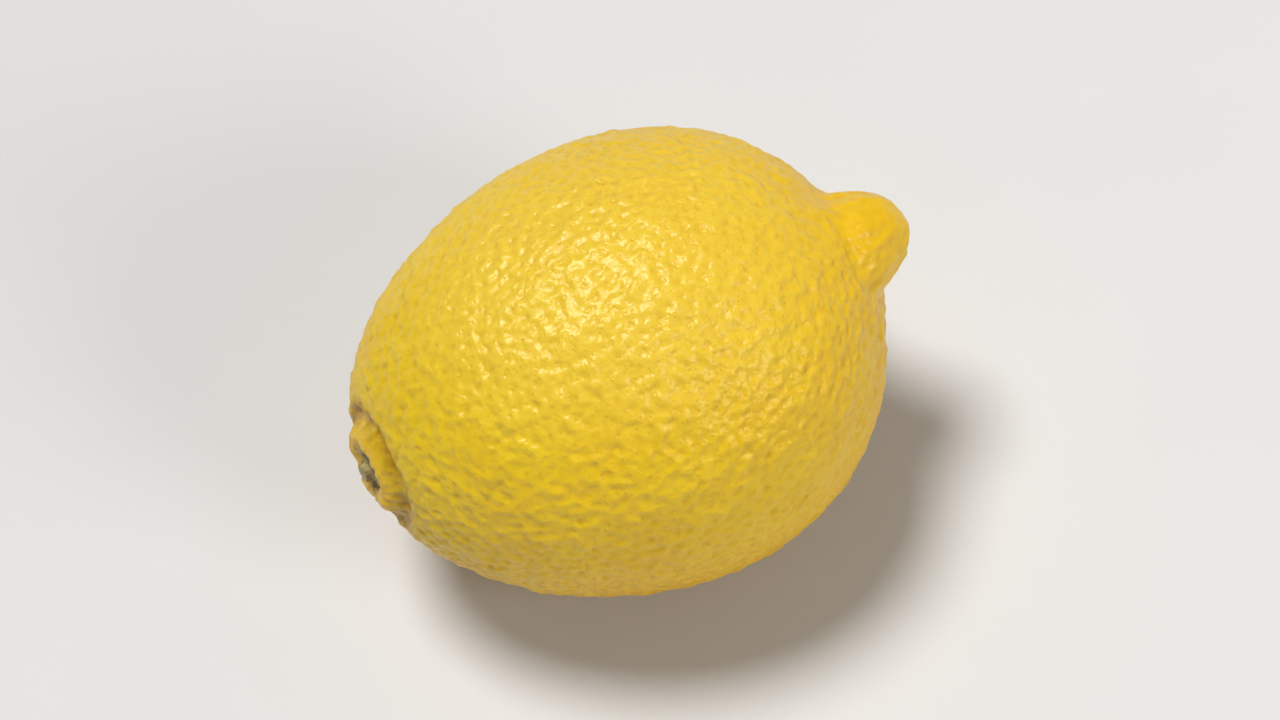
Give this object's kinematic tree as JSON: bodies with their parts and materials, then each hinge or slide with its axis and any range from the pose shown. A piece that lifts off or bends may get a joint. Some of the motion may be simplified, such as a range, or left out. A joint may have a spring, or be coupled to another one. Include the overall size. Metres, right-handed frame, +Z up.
{
  "type": "lemon",
  "caption": "Whole ripe lemon with pitted yellow rind, a blunt nipple at the blossom end and a dried button at the stem end, lying on its side.",
  "frame": {"origin": "bottom centre of the lemon's box, on the surface it rests on", "axes": "+X along the long axis towards the blossom end's nipple, -X towards the stem end, +Z up with the fruit lying on its side"},
  "size_m": [0.084, 0.0646, 0.0639],
  "materials": {
    "rind": "waxy yellow citrus rind, pitted with oil glands, satin gloss",
    "dried_calyx": "dry grey-green and brown woody calyx with a paler cut stub"
  },
  "bodies": {
    "root": {"lemon_fruit": "rind", "stem_button": "dried_calyx"}
  },
  "joints": []
}
